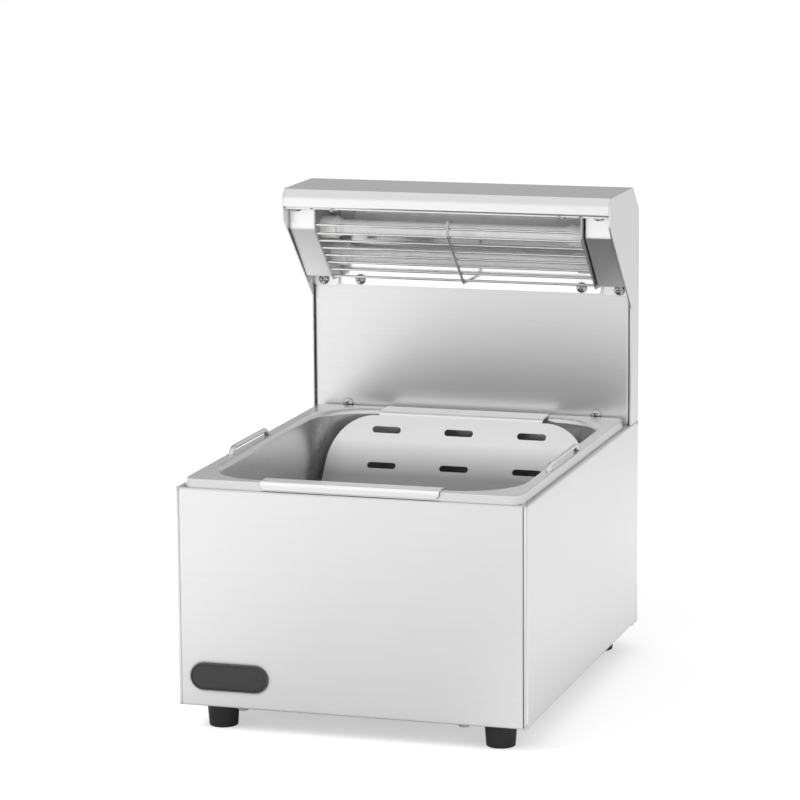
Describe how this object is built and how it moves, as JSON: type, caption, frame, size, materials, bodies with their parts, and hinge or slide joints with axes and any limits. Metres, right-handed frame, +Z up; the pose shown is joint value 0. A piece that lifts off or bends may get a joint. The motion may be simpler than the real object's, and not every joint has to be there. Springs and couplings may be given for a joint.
{
  "type": "chip warmer",
  "caption": "Counter-top chip warmer: sheet-metal well with a lift-out pan and slotted curved insert under a hood with guarded quartz heating tubes.",
  "frame": {"origin": "on the floor under the middle of the object box, at the feet's lower faces", "axes": "+X to the right as seen from the front, +Y from the front panel to the rear, +Z up"},
  "size_m": [0.274, 0.3664, 0.384],
  "materials": {
    "casing_steel": "satin brushed stainless sheet",
    "column_steel": "satin brushed stainless sheet",
    "splash_steel": "fine satin stainless sheet",
    "frame_steel": "plain stainless sheet",
    "pan_steel": "deep-drawn satin stainless",
    "insert_steel": "satin stainless sheet",
    "wire_steel": "bright drawn wire",
    "lamp_cover_steel": "satin stainless sheet",
    "polished_reflector": "polished sheet",
    "screw_steel": "bright pan-head screws",
    "black_rubber": "moulded rubber",
    "badge_black": "plain glossy dome, left bare",
    "quartz": "milky quartz",
    "ceramic": "glazed white ceramic",
    "coil_wire": "resistance wire",
    "black_plastic": "moulded black plastic",
    "rocker_plastic": "glossy black rocker",
    "block_plastic": "white moulded block",
    "brass": "plain brass",
    "wire_insulation": "glass-braid sleeved wire"
  },
  "bodies": {
    "casing": {"badge": "badge_black", "base_plate": "casing_steel", "base_screws": "screw_steel", "cable_gland": "black_plastic", "column_back": "column_steel", "earth_stud": "brass", "foot_front_left": "black_rubber", "foot_front_right": "black_rubber", "foot_nuts": "screw_steel", "foot_rear_left": "black_rubber", "foot_rear_right": "black_rubber", "foot_screws": "screw_steel", "front_panel": "casing_steel", "gland_nut": "black_plastic", "guard_support": "wire_steel", "hood_cover": "column_steel", "lamp_cover_screws": "screw_steel", "lamp_wiring": "wire_insulation", "left_cheek": "column_steel", "left_end_plate": "lamp_cover_steel", "left_lamp_cover": "lamp_cover_steel", "left_side_panel": "casing_steel", "lower_heating_coil": "coil_wire", "lower_left_tube_cap": "ceramic", "lower_quartz_tube": "quartz", "lower_right_tube_cap": "ceramic", "rear_deck": "frame_steel", "rear_panel": "casing_steel", "rear_screws": "screw_steel", "reflector": "polished_reflector", "reflector_screws": "screw_steel", "right_cheek": "column_steel", "right_end_plate": "lamp_cover_steel", "right_lamp_cover": "lamp_cover_steel", "right_side_panel": "casing_steel", "splash_panel": "splash_steel", "splash_screws": "screw_steel", "switch_housing": "black_plastic", "switch_wiring": "wire_insulation", "terminal_block": "block_plastic", "upper_heating_coil": "coil_wire", "upper_left_tube_cap": "ceramic", "upper_quartz_tube": "quartz", "upper_right_tube_cap": "ceramic", "well_frame": "frame_steel", "wire_guard": "wire_steel", "wiring_shield": "frame_steel"},
    "pan": {"pan": "pan_steel"},
    "insert": {"chip_insert": "insert_steel"},
    "left_bail": {"bail_left": "wire_steel"},
    "right_bail": {"bail_right": "wire_steel"},
    "rocker": {"switch_rocker": "rocker_plastic"}
  },
  "joints": [
    {"name": "pan_lift", "type": "slide", "parent": "casing", "child": "pan", "axis": [0, 0, 1], "range_m": [0, 0.045]},
    {"name": "insert_lift", "type": "slide", "parent": "pan", "child": "insert", "axis": [0, 0, 1], "range_m": [0, 0.045]},
    {"name": "left_bail_slide", "type": "slide", "parent": "pan", "child": "left_bail", "axis": [0, 0, 1], "range_m": [0, 0.03]},
    {"name": "right_bail_slide", "type": "slide", "parent": "pan", "child": "right_bail", "axis": [0, 0, 1], "range_m": [0, 0.03]},
    {"name": "rocker_turn", "type": "hinge", "parent": "casing", "child": "rocker", "pos_m": [-0.072, 0.17175, 0.066], "axis": [-1, 0, 0], "range_deg": [0, 16]}
  ]
}
